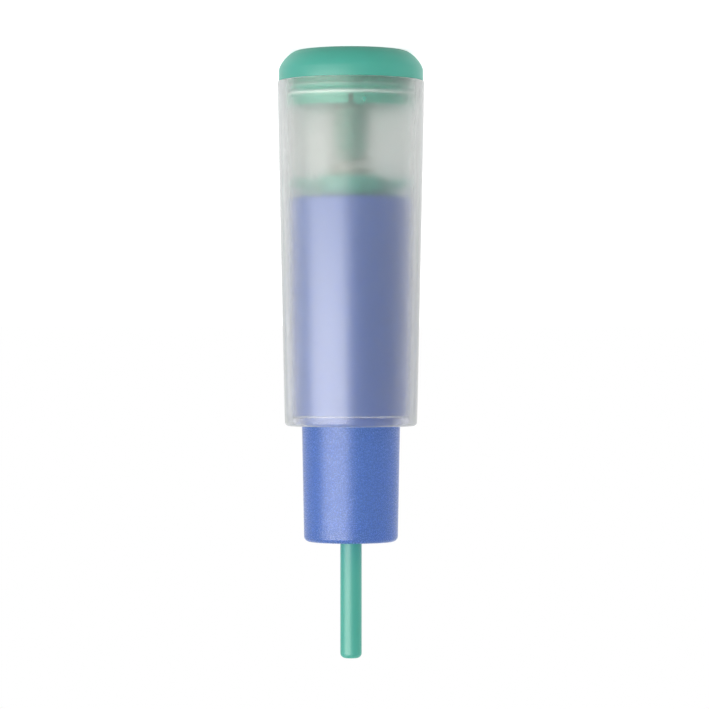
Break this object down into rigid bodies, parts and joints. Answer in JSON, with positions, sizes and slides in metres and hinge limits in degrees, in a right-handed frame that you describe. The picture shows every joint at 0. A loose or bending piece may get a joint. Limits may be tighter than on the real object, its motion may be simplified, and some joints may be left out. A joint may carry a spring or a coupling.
{
  "type": "safety lancet",
  "caption": "Contact-activated safety lancet: a frosted tapered shell with a flat end cap, a sliding nose that hides a spring-driven needle, and a twist-off needle cap",
  "frame": {"origin": "centre of the end cap's flat top, on which the lancet stands", "axes": "+Z runs along the lancet's axis from the end cap to the tip of the needle cap, +X points to one of the shield's two guide keys"},
  "size_m": [0.0148, 0.0148, 0.0606],
  "materials": {
    "frosted_shell": "polypropylene with no pigment, moulded with a fine frosted outside",
    "green_plastic": "opaque polypropylene, satin from the mould",
    "blue_plastic": "tinted translucent polypropylene with a finely sparked surface",
    "needle_steel": "drawn and ground stainless steel",
    "spring_steel": "drawn stainless spring wire"
  },
  "bodies": {
    "root": {"outer_shell": "frosted_shell", "end_cap": "green_plastic", "drive_spring": "spring_steel"},
    "shield": {"shield": "blue_plastic", "return_spring": "spring_steel"},
    "carrier": {"lancet_carrier": "green_plastic", "needle": "needle_steel"},
    "needle_cap": {"needle_cap": "green_plastic"}
  },
  "joints": [
    {"name": "shield_press", "type": "slide", "parent": "root", "child": "shield", "axis": [0, 0, 1], "range_m": [-0.0055, 0], "stiffness_N_per_m": 160, "deforming": ["drive_spring"]},
    {"name": "lancet_fire", "type": "slide", "parent": "shield", "child": "carrier", "axis": [0, 0, 1], "range_m": [0, 0.007], "stiffness_N_per_m": 160, "deforming": ["return_spring"]},
    {"name": "cap_pull", "type": "slide", "parent": "carrier", "child": "needle_cap", "axis": [0, 0, 1], "range_m": [0, 0.015]}
  ]
}
